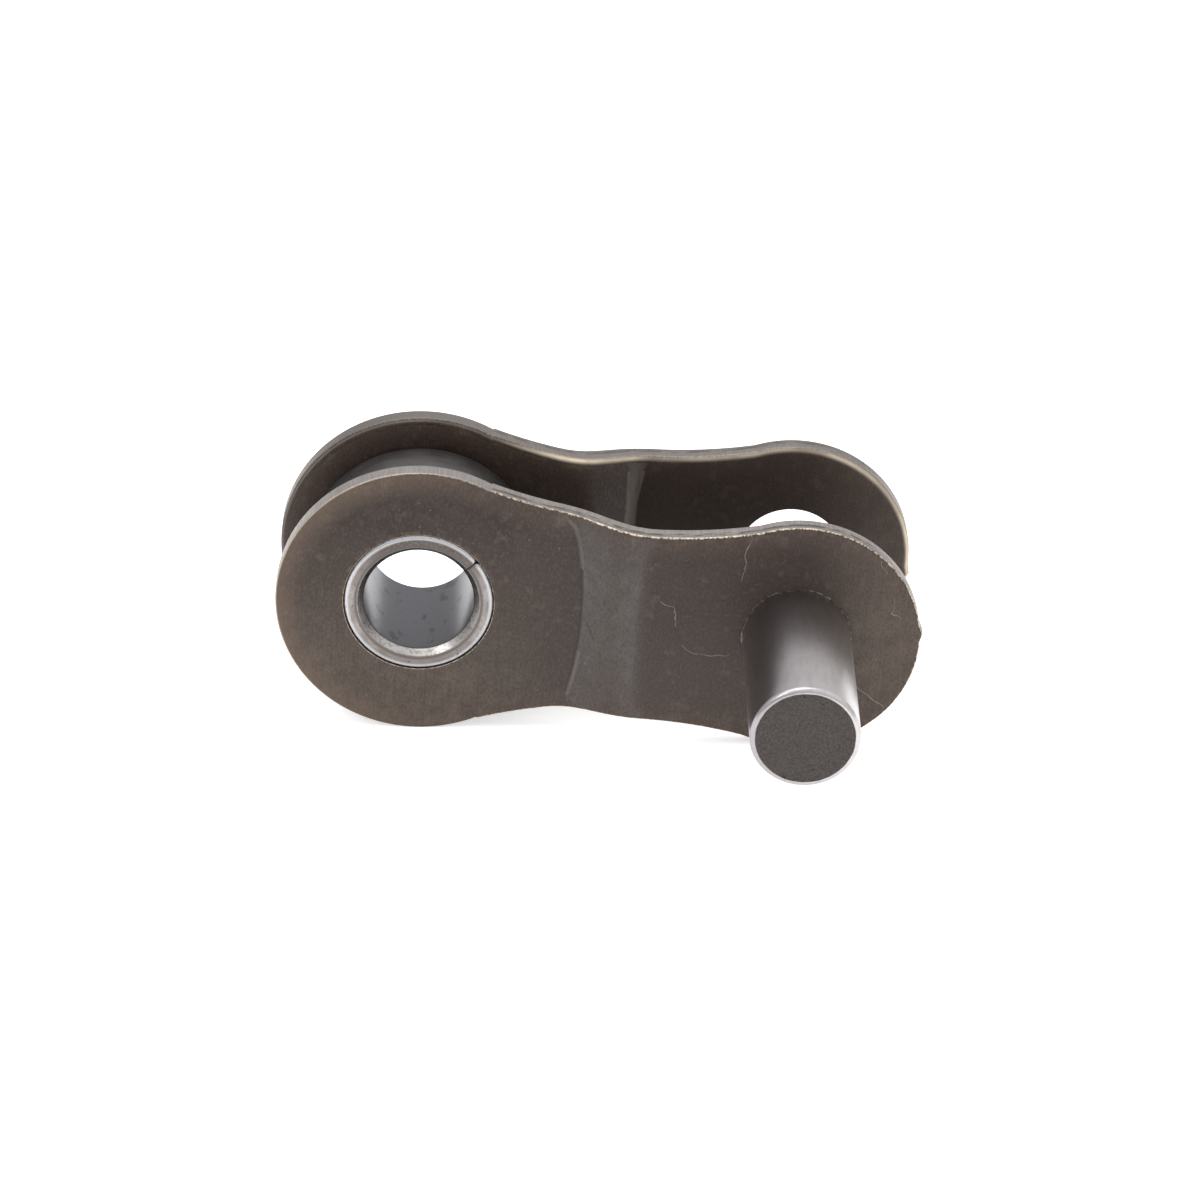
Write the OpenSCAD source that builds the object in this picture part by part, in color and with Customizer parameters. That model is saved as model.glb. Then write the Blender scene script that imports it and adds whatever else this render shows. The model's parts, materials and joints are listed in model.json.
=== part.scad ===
// Offset link of a half-inch roller chain: two cranked plates, a curled bushing with its roller, and a
// pin that stands in the front plate, ready to be driven through both.
// Millimetres. The origin is the middle of the bushing, +X runs along the pitch to the pin, +Y is the way
// the pin is driven, and +Z is up as the link stands on the edges of its plates.

/* [Chain] */
// Pitch: distance from the bushing axis to the pin axis
pitch = 12.7; // [11.5:0.1:18]
// Gap between the plates at the bushing end, where the sprocket tooth runs
inner_width = 3.3; // [2:0.1:8]
// Play left on each side of the next link's plates at the wide end
side_play = 0.15; // [0.05:0.01:0.5]

/* [Plates] */
// Thickness of the plate steel
plate_t = 0.8; // [0.6:0.05:1.2]
// Radius of the plate round the bushing
bushing_end_r = 4.82; // [4.2:0.02:6]
// Radius of the plate round the pin
pin_end_r = 4.13; // [3.4:0.01:5]
// Radius of the hollow in the long edges
waist_r = 17; // [9:0.5:40]
// Distance from the bushing axis to the small shoulder where the hollow starts
waist_start = 2.2; // [1.9:0.05:2.8]
// How far the hollow bites past a smooth run-out at the pin end, which leaves a faint corner there
waist_bite = 0.04; // [0.01:0.01:0.15]
// Height of the stub on the tip of the plate, left by the tab of the strip it was blanked from
tab_stub = 0.09; // [0.05:0.01:0.4]
// Width of that stub where it leaves the plate
tab_stub_w = 0.8; // [0.3:0.05:1.1]
// Turn of the stub about the pin hole, off the pitch line
tab_turn = 6; // [0:1:20]

/* [Crank] */
// Distance from the bushing axis to the crease where the crank starts, at mid height
crank_start = 5.5; // [5:0.05:6]
// Length of the crank along the pitch, from crease to crease on the outer face, at mid height
crank_run = 1.3; // [1.1:0.05:2.6]
// Radius of the bowed crease at the start, hollow towards the bushing
start_crease_r = 14; // [9:0.5:40]
// Radius of the bowed crease at the end, hollow towards the pin
end_crease_r = 28; // [9:0.5:60]
// Inside radius of the sheet at the start, at mid height
start_bend_r = 0.1; // [0.04:0.01:0.5]
// Inside radius of the sheet at the end, at mid height
end_bend_r = 0.5; // [0.1:0.05:1]
// How much larger both radii are at the long edges, where the tool let the sheet bend freely
edge_bend_r = 2.2; // [0:0.1:2.4]

/* [Pin] */
// Diameter of the pin
pin_d = 3.62; // [3:0.02:4.2]
// Radial play of the pin in the plates' holes
pin_play = 0.02; // [0.01:0.01:0.1]
// How far the pin stands out of each plate when it is driven home
pin_proud = 0.4; // [0.1:0.05:1]
// Radius of the rounded ends
pin_edge_r = 0.18; // [0.05:0.01:0.4]

/* [Bushing] */
// Radial play of the next link's pin in the bushing
bore_play = 0.05; // [0.01:0.01:0.1]
// Wall of the curled strip
bushing_wall = 0.67; // [0.4:0.01:0.9]
// Radius of the rounded rims
bushing_rim_r = 0.26; // [0.05:0.01:0.4]
// Gap left where the ends of the curled strip meet
seam_gap = 0.06; // [0.02:0.01:0.2]
// Depth of the notch that the rounded lips of the seam leave in each rim
seam_notch = 0.16; // [0.05:0.01:0.4]
// Turn of the seam about the bore, up from the pitch line
seam_turn = 41; // [0:1:90]

/* [Roller] */
// Outside diameter of the roller
roller_d = 7.75; // [6.6:0.05:9]
// Radial play of the roller on the bushing
roller_play = 0.06; // [0.01:0.01:0.1]
// Play at each end of the roller, between the plates
roller_end_play = 0.1; // [0.05:0.01:0.3]
// Radius of the rounded corners
roller_edge_r = 0.2; // [0.05:0.01:0.4]

/* [Hidden] */

$fn = 96;
// Overlap that makes a cut run clear through
cut = 1;
// Strips across the sheet and steps round each bend of the crank
crank_strips = 20;
bend_steps = 4;
// Flat sheet kept on both sides of the creases
crease_margin = 0.1;
// How fast the bends soften from mid height to the long edges
soft_power = 8;
// Depth of the stub's root inside the plate
stub_root = 0.04;
// Largest share of a wall that a rounded corner may take
round_share = 0.45;

pin_r = pin_d / 2;
pin_hole_r = pin_r + pin_play;
bore_r = pin_r + bore_play;
bushing_r = bore_r + bushing_wall;
bushing_len = inner_width + 2 * plate_t;
roller_bore_r = bushing_r + roller_play;
roller_len = inner_width - 2 * roller_end_play;

// The crank sets the wide end out by one plate and its play, so that the next link's plates fit between
crank_offset = plate_t + side_play;
narrow_in = inner_width / 2;
narrow_out = narrow_in + plate_t;
wide_in = narrow_in + crank_offset;
wide_out = wide_in + plate_t;
pin_len = 2 * (wide_out + pin_proud);

// Centre of the upper hollow, from its distances to the two round ends
waist_to_bushing = bushing_end_r + waist_r;
waist_to_pin = pin_end_r + waist_r - waist_bite;
waist_x = (pitch ^ 2 + waist_to_bushing ^ 2 - waist_to_pin ^ 2) / (2 * pitch);
waist_z = sqrt(waist_to_bushing ^ 2 - waist_x ^ 2);
waist_half = waist_z - waist_r;

// Extent of the sheet that the blank is cut from, and of the stretch in which it is cranked
sheet_half = max(bushing_end_r, pin_end_r) + crease_margin;
sheet_start = -bushing_end_r - cut;
sheet_end = pitch + pin_end_r + cut;
bend_from = first_bend_x(sheet_half) - crease_margin;
bend_to = second_bend_x(sheet_half) + crease_margin;

// Where the two bowed creases lie at the height z
function start_crease_x(z) = crank_start - start_crease_r + sqrt(start_crease_r ^ 2 - z ^ 2);
function end_crease_x(z) = crank_start + crank_run + end_crease_r - sqrt(end_crease_r ^ 2 - z ^ 2);

// Slope of the sheet at the height z
function crank_slope(z) = atan2(crank_offset, end_crease_x(z) - start_crease_x(z));

// Inside radii of the two bends at the height z
function softer(z) = edge_bend_r * min(1, abs(z) / waist_half) ^ soft_power;
function first_bend_r(z) = start_bend_r + softer(z);
function second_bend_r(z) = end_bend_r + softer(z);

// Where the first bend starts and the second one ends, so that their creases stay where they are
function first_bend_x(z) = start_crease_x(z) - first_bend_r(z) * tan(crank_slope(z) / 2);
function second_bend_x(z) = end_crease_x(z) + (second_bend_r(z) + plate_t) * tan(crank_slope(z) / 2);

// Section of one face of the cranked sheet at the height z, where depth is 0 on the outer face and 1 on the
// inner face. The sheet keeps its thickness, because both faces turn about the same two centres.
function face_section(z, depth) =
    let (slope = crank_slope(z))
    let (first_r = first_bend_r(z) + depth * plate_t)
    let (second_r = second_bend_r(z) + (1 - depth) * plate_t)
    let (first_centre = [first_bend_x(z), narrow_out + first_bend_r(z)])
    let (second_centre = [second_bend_x(z), wide_in - second_bend_r(z)])
    concat(
        [[bend_from, narrow_out - depth * plate_t, z]],
        [for (i = [0 : bend_steps])
            let (turn = slope * i / bend_steps)
            [first_centre[0] + first_r * sin(turn), first_centre[1] - first_r * cos(turn), z]],
        [for (i = [bend_steps : -1 : 0])
            let (turn = slope * i / bend_steps)
            [second_centre[0] - second_r * sin(turn), second_centre[1] + second_r * cos(turn), z]],
        [[bend_to, wide_out - depth * plate_t, z]]
    );

// The stretch of sheet that holds both bends, as one closed skin of rows from the lower to the upper edge
module crank_bend() {
    row = 2 * bend_steps + 4;
    inner = row * (crank_strips + 1);
    heights = [for (j = [0 : crank_strips]) sheet_half * (2 * j / crank_strips - 1)];
    points = [for (depth = [0, 1], z = heights) each face_section(z, depth)];
    corners = [for (j = [0 : crank_strips - 1], i = [0 : row - 2]) j * row + i];
    first_edge = [for (j = [0 : crank_strips]) j * row];
    last_edge = [for (j = [0 : crank_strips]) j * row + row - 1];
    low_edge = [for (i = [0 : row - 1]) i];
    high_edge = [for (i = [0 : row - 1]) crank_strips * row + i];
    faces = concat(
        [for (a = corners) each [[a, a + 1, a + row], [a + 1, a + row + 1, a + row]]],
        [for (a = corners) each [
            [inner + a, inner + a + row, inner + a + 1],
            [inner + a + 1, inner + a + row, inner + a + row + 1]]],
        skirt(first_edge, inner, false),
        skirt(last_edge, inner, true),
        skirt(low_edge, inner, true),
        skirt(high_edge, inner, false)
    );
    polyhedron(points = points, faces = faces);
}

// The flat side that joins an edge of the outer face to the same edge of the inner face
function skirt(edge, inner, turned) =
    [for (i = [0 : len(edge) - 2])
        let (a = edge[i])
        let (b = edge[i + 1])
        turned ? [a + inner, b + inner, b, a] : [a, b, b + inner, a + inner]];

// Flat sheet from x0 to x1 with its inner face at y0
module flat_sheet(x0, x1, y0) {
    translate([x0, y0, -sheet_half])
        cube([x1 - x0, plate_t, 2 * sheet_half]);
}

module cranked_sheet() {
    lap = crease_margin / 2;
    flat_sheet(sheet_start, bend_from + lap, narrow_in);
    crank_bend();
    flat_sheet(bend_to - lap, sheet_end, wide_in);
}

// Round bar along Y
module bar(r, y0, y1) {
    translate([0, y0, 0])
        rotate([-90, 0, 0])
            cylinder(r = r, h = y1 - y0);
}

// Shape drawn in X and Z, drawn out along Y through the depth of one plate
module through_plate() {
    translate([0, wide_out + cut, 0])
        rotate([90, 0, 0])
            linear_extrude(wide_out + cut)
                children();
}

// Web between the two round ends, hollowed along both edges
module web() {
    web_end = pitch + pin_end_r * (waist_x - pitch) / waist_to_pin;
    difference() {
        through_plate()
            translate([waist_start, -bushing_end_r])
                square([web_end - waist_start, 2 * bushing_end_r]);
        for (side = [-1, 1])
            translate([waist_x, 0, side * waist_z])
                bar(waist_r, -cut, wide_out + 2 * cut);
    }
}

// Stub of the strip's tab near the tip of the pin end
module tab() {
    root = pin_end_r - stub_root;
    through_plate()
        translate([pitch, 0])
            rotate(-tab_turn)
                polygon([[root, -tab_stub_w / 2], [pin_end_r + tab_stub, 0], [root, tab_stub_w / 2]]);
}

module blank() {
    bar(bushing_end_r, 0, wide_out + cut);
    translate([pitch, 0, 0])
        bar(pin_end_r, 0, wide_out + cut);
    web();
    tab();
}

// One pressing, used for both plates
module plate() {
    difference() {
        intersection() {
            cranked_sheet();
            blank();
        }
        bar(bushing_r, 0, wide_out + cut);
        translate([pitch, 0, 0])
            bar(pin_hole_r, 0, wide_out + cut);
    }
}

// Radial section of a ring with rounded corners, from the radius r0 to r1
module ring_section(r0, r1, length, edge_r) {
    edge = min(edge_r, round_share * (r1 - r0));
    translate([r0, edge - length / 2])
        square([r1 - r0, length - 2 * edge]);
    translate([r0 + edge, -length / 2])
        square([r1 - r0 - 2 * edge, length]);
    for (r = [r0 + edge, r1 - edge], end = [-1, 1])
        translate([r, end * (length / 2 - edge)])
            circle(edge);
}

module ring(r0, r1, length, edge_r) {
    rotate([-90, 0, 0])
        rotate_extrude()
            ring_section(r0, r1, length, edge_r);
}

module front_plate() {
    color("#62564f")
        rotate([180, 0, 0])
            plate();
}

module rear_plate() {
    color("#4a403b")
        plate();
}

// Strip of steel curled into a tube, pressed into both plates and flush with them
module bushing() {
    color("#b4b5b8")
        difference() {
            ring(bore_r, bushing_r, bushing_len, bushing_rim_r);
            rotate([0, -seam_turn, 0]) {
                translate([0, -bushing_len / 2 - cut, -seam_gap / 2])
                    cube([bushing_r + cut, bushing_len + 2 * cut, seam_gap]);
                for (end = [-1, 1])
                    translate([0, end * bushing_len / 2, 0])
                        rotate([45, 0, 0])
                            translate([0, -seam_notch, -seam_notch] / sqrt(2))
                                cube([bushing_r + cut, sqrt(2) * seam_notch, sqrt(2) * seam_notch]);
            }
        }
}

module roller() {
    color("#77787a")
        ring(roller_bore_r, roller_d / 2, roller_len, roller_edge_r);
}

// Stands in the front plate with its inner end level with that plate's inner face
module pin() {
    edge = min(pin_edge_r, round_share * pin_r);
    color("#6f7073")
        translate([pitch, -wide_in - pin_len / 2, 0])
            rotate([-90, 0, 0])
                rotate_extrude() {
                    translate([0, -pin_len / 2])
                        square([pin_r - edge, pin_len]);
                    translate([0, edge - pin_len / 2])
                        square([pin_r, pin_len - 2 * edge]);
                    for (end = [-1, 1])
                        translate([pin_r - edge, end * (pin_len / 2 - edge)])
                            circle(edge);
                }
}

front_plate();
rear_plate();
bushing();
roller();
pin();
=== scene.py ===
# %% [markdown]
# An offset link is the half link that lets a roller chain have an odd number of pitches. Two
# cranked plates hold a curled bushing with a roller at one end, and at the other end a pin waits to
# be driven through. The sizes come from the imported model, so this lesson is about surface: how
# tempered plate, a sheared edge and a ground pin can be made from clean meshes and node materials.

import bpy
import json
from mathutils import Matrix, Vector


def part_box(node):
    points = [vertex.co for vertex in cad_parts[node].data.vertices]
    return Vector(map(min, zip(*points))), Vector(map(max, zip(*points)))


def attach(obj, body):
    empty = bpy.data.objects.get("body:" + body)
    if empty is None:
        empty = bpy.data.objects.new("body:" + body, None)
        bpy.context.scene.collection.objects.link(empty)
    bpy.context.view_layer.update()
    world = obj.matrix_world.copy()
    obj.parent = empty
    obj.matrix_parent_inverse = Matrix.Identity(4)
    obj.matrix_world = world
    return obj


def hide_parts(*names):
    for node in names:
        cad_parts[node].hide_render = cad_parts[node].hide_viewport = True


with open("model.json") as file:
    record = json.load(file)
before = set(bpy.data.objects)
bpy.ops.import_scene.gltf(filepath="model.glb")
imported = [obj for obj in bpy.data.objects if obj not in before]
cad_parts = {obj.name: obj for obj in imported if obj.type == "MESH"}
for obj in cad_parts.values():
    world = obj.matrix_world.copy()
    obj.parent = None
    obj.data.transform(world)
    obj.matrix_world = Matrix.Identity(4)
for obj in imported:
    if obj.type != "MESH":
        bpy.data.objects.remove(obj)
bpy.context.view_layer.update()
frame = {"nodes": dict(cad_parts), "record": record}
print("nodes in the frame:", sorted(frame["nodes"]))

# %% [markdown]
# Blender works in metres, and this link is 22 mm long, so lengths are written in millimetres and
# turned into metres at the last moment. Whatever the frame can tell is measured there and not typed
# in again: a box gives a plate's reach, a bushing's length and a pin's radius.

# %% Measure the pieces
import bmesh
import bpy
import json
from math import asin, atan2, ceil, cos, degrees, hypot, pi, radians, sin, sqrt, tan
from mathutils import Matrix, Vector

MM = 0.001


def corners(node):
    low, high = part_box(node)
    return low / MM, high / MM


plate_low, plate_high = corners("rear_plate")
bushing_high = corners("bushing")[1]
roller_high = corners("roller")[1]
pin_low, pin_high = corners("pin")
bore = next(mount for mount in frame["record"]["mounts"] if mount["name"] == "bushing_bore")

pitch = (pin_low.x + pin_high.x) / 2
pin_r = (pin_high.x - pin_low.x) / 2
bore_r = bore["dims"]["r_mm"]
bushing_r = bushing_high.x
roller_r = roller_high.x
narrow_in = plate_low.y
narrow_out = bushing_high.y
plate_t = narrow_out - narrow_in
wide_out = plate_high.y
wide_in = wide_out - plate_t
bushing_end_r = -plate_low.x
print(f"pitch {pitch:.2f} mm, plate {plate_t:.2f} mm thick, pin {2 * pin_r:.2f} mm across")

# %% [markdown]
# The camera stands where the photographer stood: above the link, a little to the left, with a long
# lens so that the far plate is hardly smaller than the near one. A camera looks along its own -Z
# axis, so to_track_quat turns that axis to the view and a last turn about it gives the roll.

# %% Camera
view_height = radians(27.46)
view_turn = radians(2.63)
view_roll = radians(4.66)
view_distance = 171.9
sensor = 36
lens = 151.6
# The picture's middle lies this far to the left of and below the link's
aim_left = 0.23
aim_below = 0.67

middle = Vector((pitch / 2, 0, 0))
level = cos(view_height)
forward = Vector((sin(view_turn) * level, cos(view_turn) * level, -sin(view_height)))
turned = forward.to_track_quat("-Z", "Y").to_matrix() @ Matrix.Rotation(view_roll, 3, "Z")
camera_place = middle - view_distance * forward
aim = middle - turned @ Vector((aim_left, aim_below, 0))
sight = (aim - camera_place).normalized()
turned = sight.to_track_quat("-Z", "Y").to_matrix() @ Matrix.Rotation(view_roll, 3, "Z")

camera_data = bpy.data.cameras.new("camera")
camera_data.sensor_width = sensor
camera_data.lens = lens
camera_data.clip_start = 0.01
camera = bpy.data.objects.new("camera", camera_data)
camera.matrix_world = Matrix.Translation(camera_place * MM) @ turned.to_4x4()
bpy.context.scene.collection.objects.link(camera)
bpy.context.scene.camera = camera
print(f"camera {view_distance:.0f} mm away, {degrees(view_height):.1f} degrees above the link")

# %% [markdown]
# The link stands on the edges of its plates. The bushing end is the larger of the two round ends,
# so the floor that touches both is not level in the link's own frame: it climbs towards the pin by
# the angle whose sine is the difference of the radii over the pitch. It is stage, not part of the
# object.

# %% Floor
tab_stub = 0.09
tab_turn = radians(6)
pin_end_r = (plate_high.x - pitch) / cos(tab_turn) - tab_stub
floor_tilt = asin((bushing_end_r - pin_end_r) / pitch)
floor_half = 900

floor_mesh = bpy.data.meshes.new("floor")
floor_corners = [(-1, -1), (1, -1), (1, 1), (-1, 1)]
floor_places = [(x * floor_half * MM, y * floor_half * MM, 0) for x, y in floor_corners]
floor_mesh.from_pydata(floor_places, [], [(0, 1, 2, 3)])
floor = bpy.data.objects.new("floor", floor_mesh)
floor_drop = Matrix.Translation((0, 0, -bushing_end_r * MM))
floor.matrix_world = Matrix.Rotation(-floor_tilt, 4, "Y") @ floor_drop
bpy.context.scene.collection.objects.link(floor)

floor_paint = bpy.data.materials.new("floor_paint")
floor_paint.use_nodes = True
floor_shader = floor_paint.node_tree.nodes["Principled BSDF"]
floor_looks = {"Base Color": (0.86, 0.86, 0.86, 1), "Roughness": 0.9}
floor_glow = {"Emission Color": (1, 1, 1, 1), "Emission Strength": 0.5}
for socket, setting in (floor_looks | floor_glow).items():
    floor_shader.inputs[socket].default_value = setting
floor_mesh.materials.append(floor_paint)
print(f"floor climbs {degrees(floor_tilt):.2f} degrees towards the pin")

# %% [markdown]
# Bare steel has no colour of its own to speak of: what it shows is the room. Here the room is a
# white tent, brighter at the roof than at the walls and a little brighter on the right. Rounded
# rims bend the roof into thin highlights. The tent is the world, and two soft boxes hang in it.

# %% Light
bpy.context.scene.view_settings.view_transform = "Standard"
tent_left = 0.95
tent_right = 1.12
tent_wall = 0.76
tent_roof = 1.25

world = bpy.data.worlds.new("tent")
world.use_nodes = True
tent = world.node_tree


def tent_ramp(value, low, high, first, last):
    """Follows a value from low to high and gives first to last."""
    ramp = tent.nodes.new("ShaderNodeMapRange")
    ramp.interpolation_type = "SMOOTHSTEP"
    tent.links.new(value, ramp.inputs["Value"])
    for socket, setting in zip(("From Min", "From Max", "To Min", "To Max"), (low, high, first, last)):
        ramp.inputs[socket].default_value = setting
    return ramp.outputs[0]


tent_side = tent.nodes.new("ShaderNodeTexCoord").outputs["Generated"]
tent_axes = tent.nodes.new("ShaderNodeSeparateXYZ")
tent.links.new(tent_side, tent_axes.inputs[0])
tent_light = tent.nodes.new("ShaderNodeMath")
tent_light.operation = "MULTIPLY"
tent.links.new(tent_ramp(tent_axes.outputs["X"], -1, 1, tent_left, tent_right), tent_light.inputs[0])
tent.links.new(tent_ramp(tent_axes.outputs["Z"], 0, 1, tent_wall, tent_roof), tent_light.inputs[1])
tent.links.new(tent_light.outputs[0], tent.nodes["Background"].inputs["Strength"])
tent.nodes["Background"].inputs["Color"].default_value = (1, 1, 1, 1)
bpy.context.scene.world = world


def soft_box(name, place, toward, width, depth, watts):
    """A rectangular lamp that hangs at a place and faces a point, both in millimetres."""
    lamp = bpy.data.lights.new(name, "AREA")
    lamp.shape = "RECTANGLE"
    lamp.size = width * MM
    lamp.size_y = depth * MM
    lamp.energy = watts
    box = bpy.data.objects.new(name, lamp)
    facing = (Vector(toward) - Vector(place)).to_track_quat("-Z", "Y").to_matrix().to_4x4()
    box.matrix_world = Matrix.Translation(Vector(place) * MM) @ facing
    bpy.context.scene.collection.objects.link(box)


soft_box("overhead_box", (-60, 60, 300), middle, 260, 260, 0.39)
soft_box("left_box", (-190, -120, 230), middle, 110, 110, 0.14)
print("tent with two soft boxes")

# %% [markdown]
# Every piece here is a skin of points laid out in rows, so one small tool can make them all: it
# takes a grid of points, joins neighbours with four-sided faces, and welds the edges where two
# grids meet. A point can also carry marks for the materials: the sheared band, a worn or rolled
# corner, the margin of a face, the crank's slope and valley that the tool rubbed and where a sheen
# is painted, the outside of the plate.

# %% Skin tool
class Skin:
    """Collects grids of points in millimetres and turns them into one closed mesh."""

    marks = ("band", "worn", "roll", "margin", "press", "outside")

    def __init__(self):
        self.mesh = bmesh.new()
        self.layers = {name: self.mesh.verts.layers.float.new(name) for name in self.marks}
        self.strip = self.mesh.loops.layers.uv.new("strip")

    def point(self, place, strip=(0.0, 0.0), **marks):
        corner = self.mesh.verts.new(Vector(place) * MM)
        for name, value in marks.items():
            corner[self.layers[name]] = value
        return corner, strip

    def face(self, ring):
        made = self.mesh.faces.new([corner for corner, strip in ring])
        made.smooth = True
        for loop, (corner, strip) in zip(made.loops, ring):
            loop[self.strip].uv = strip

    def grid(self, rows):
        """Joins rows of points, each as long as the next."""
        for row, after in zip(rows, rows[1:]):
            for i in range(len(row) - 1):
                self.face([row[i], row[i + 1], after[i + 1], after[i]])

    def finish(self, name, turn=Matrix.Identity(4)):
        bmesh.ops.remove_doubles(self.mesh, verts=self.mesh.verts, dist=1e-5 * MM)
        bmesh.ops.recalc_face_normals(self.mesh, faces=self.mesh.faces)
        self.mesh.transform(turn)
        open_edges = sum(not edge.is_manifold for edge in self.mesh.edges)
        data = bpy.data.meshes.new(name)
        self.mesh.to_mesh(data)
        self.mesh.free()
        piece = bpy.data.objects.new(name, data)
        bpy.context.scene.collection.objects.link(piece)
        print(f"{name}: {len(data.polygons)} faces, {open_edges} open edges")
        return piece

# %% [markdown]
# A plate is blanked out of strip: two round ends, a web with hollow edges between them, a small
# shoulder where the hollow starts, and near the tip a stub of the tab that tied it to the strip.
# The outline stays a handful of arcs. The web asks for its height at x, and a round end asks how
# far a ray from its hole may run. The inset moves the whole outline inwards, which is how a rounded
# corner gets its rows.

# %% Outline of the blank
waist_r = 17
waist_start = 2.2
waist_bite = 0.04
tab_stub_w = 0.8
stub_root = 0.04
stub_slope = (stub_root + tab_stub) / (tab_stub_w / 2)

waist_to_bushing = bushing_end_r + waist_r
waist_to_pin = pin_end_r + waist_r - waist_bite
waist_x = (pitch ** 2 + waist_to_bushing ** 2 - waist_to_pin ** 2) / (2 * pitch)
waist_z = sqrt(waist_to_bushing ** 2 - waist_x ** 2)
waist_half = waist_z - waist_r
waist_end = pitch + (waist_x - pitch) * pin_end_r / waist_to_pin


def half_height(x, inset):
    """Height of the web's hollow edge over the pitch line."""
    return waist_z - sqrt((waist_r + inset) ** 2 - (x - waist_x) ** 2)


class RoundEnd:
    """One end of a plate. Angles at its hole start at the pitch line, towards the web."""

    def __init__(self, axis_x, end_r, hole_r, level, border_x, hollow_x, stub):
        self.axis_x, self.end_r, self.hole_r = axis_x, end_r, hole_r
        self.level, self.border_x, self.stub = level, border_x, stub
        self.side = 1 if border_x > axis_x else -1
        self.to_border = abs(border_x - axis_x)
        self.to_hollow = abs(hollow_x - axis_x)
        self.hollow = Vector((abs(waist_x - axis_x), waist_z))

    def place(self, angle, length):
        """x and z at that distance along a ray."""
        return Vector((self.axis_x + self.side * length * cos(angle), self.side * length * sin(angle)))

    def reach(self, angle, inset):
        """Length of a ray from the hole's axis to the edge, and whether it ends in the web's hollow."""
        ray = Vector((cos(angle), abs(sin(angle))))
        length = self.end_r - inset
        along = ray.dot(self.hollow)
        half_chord = (waist_r + inset) ** 2 - self.hollow.length_squared + along ** 2
        if ray.x > self.hollow.x / self.hollow.length and half_chord > 0:
            hollow_length = along - sqrt(half_chord)
            if hollow_length > length and hollow_length * ray.x > self.to_hollow:
                return hollow_length, True
        turn = angle - pi + tab_turn
        if self.stub and cos(turn) > 0 and self.end_r * abs(sin(turn)) < tab_stub_w / 2:
            stub_end = (self.end_r + self.stub) / (cos(turn) + stub_slope * abs(sin(turn)))
            length = max(length, stub_end - inset)
        return length, False

    def outward(self, angle, inset):
        """Direction in x and z in which the edge faces at the end of a ray."""
        length, in_hollow = self.reach(angle, inset)
        place = self.place(angle, length)
        if in_hollow:
            centre = Vector((waist_x, waist_z if place.y > 0 else -waist_z))
            return (centre - place).normalized()
        return (place - Vector((self.axis_x, 0))).normalized()


print(f"web is {2 * waist_half:.2f} mm high at its waist")

# %% [markdown]
# The crank sets the wide end out by one plate. It is two bends with a short slope between them, and
# the creases are bowed because the tool that pressed them was: the first is hollow towards the
# bushing, the second towards the pin. Near the long edges the tool let the sheet bend freely, so
# both bends grow softer there. A sheet keeps its thickness when it bends, so both of its faces turn
# about the same two centres. A station is a place along that section: a stretch and a share of it.

# %% Section of the crank
crank_start = 5.5
crank_run = 1.3
start_crease_r = 14
end_crease_r = 28
start_bend_r = 0.1
end_bend_r = 0.5
edge_bend_r = 2.2
soft_power = 8
# Rays from the two holes cover the plate up to these lines, and a grid of stations the web between
web_from = 4.35
web_to = 8.0


def station_point(station, z, depth):
    """x and y of a station at the height z, where depth is 0 on the outer face and 1 on the inner one."""
    stretch, share = station
    start_x = crank_start - start_crease_r + sqrt(start_crease_r ** 2 - z ** 2)
    end_x = crank_start + crank_run + end_crease_r - sqrt(end_crease_r ** 2 - z ** 2)
    slope = atan2(wide_out - narrow_out, end_x - start_x)
    softer = edge_bend_r * min(1, abs(z) / waist_half) ** soft_power
    first_r, second_r = start_bend_r + softer, end_bend_r + softer
    first_x = start_x - first_r * tan(slope / 2)
    second_x = end_x + (second_r + plate_t) * tan(slope / 2)

    def first_bend(turn):
        r = first_r + depth * plate_t
        return Vector((first_x + r * sin(turn), narrow_out + first_r - r * cos(turn)))

    def second_bend(turn):
        r = second_r + (1 - depth) * plate_t
        return Vector((second_x - r * sin(turn), wide_in - second_r + r * cos(turn)))

    if stretch == "before":
        return Vector((web_from + share * (first_x - web_from), narrow_out - depth * plate_t))
    if stretch == "first bend":
        return first_bend(slope * share)
    if stretch == "slope":
        return first_bend(slope).lerp(second_bend(slope), share)
    if stretch == "second bend":
        return second_bend(slope * (1 - share))
    return Vector((second_x + share * (web_to - second_x), wide_out - depth * plate_t))


stretches = {"before": 8, "first bend": 8, "slope": 12, "second bend": 10, "after": 6}
stations = [(name, i / steps) for name, steps in stretches.items() for i in range(steps)] + [("after", 1)]
slope_ends = station_point(("slope", 1), 0, 0) - station_point(("slope", 0), 0, 0)
slope_angle = degrees(atan2(slope_ends.y, slope_ends.x))
print(f"{len(stations)} stations, slope of {slope_angle:.0f} degrees at mid height")

# %% [markdown]
# Now the rows of the mesh. A face needs them close together near its edge, where the die has rolled
# the sheet over and the light changes fast, and few in its flat middle. The punch came from the
# inner side: it left a wide soft corner there and a sharp one outside. The web's rows set the rays
# that meet them, so that the grids share their border points and weld without a step.

# %% Rows and rays
corner_r = {"outer": 0.065, "inner": 0.2}
edge_rows = [0.02, 0.05, 0.1, 0.2, 0.35, 0.55]
even_rows = 10
ray_step = radians(2)
stub_rays = [radians(a) for a in (-5, -4, -3, -2, -1, -0.4, 0, 0.4, 1, 2, 3, 4, 5)]
shoulder_rays = [radians(a) for a in (-1.2, -0.6, -0.2, 0.2, 0.6, 1.2)]


def gaps(total):
    """Distances from the edge inwards: close together at first, then even."""
    rest = total - edge_rows[-1]
    return [0.0] + edge_rows + [edge_rows[-1] + rest * (i + 1) / even_rows for i in range(even_rows)]


def web_shares():
    """Shares of the half height at which the web has rows, from the lower to the upper edge."""
    upper = [1 - gap / waist_half for gap in gaps(waist_half)]
    return [-share for share in upper] + upper[-2::-1]


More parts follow.
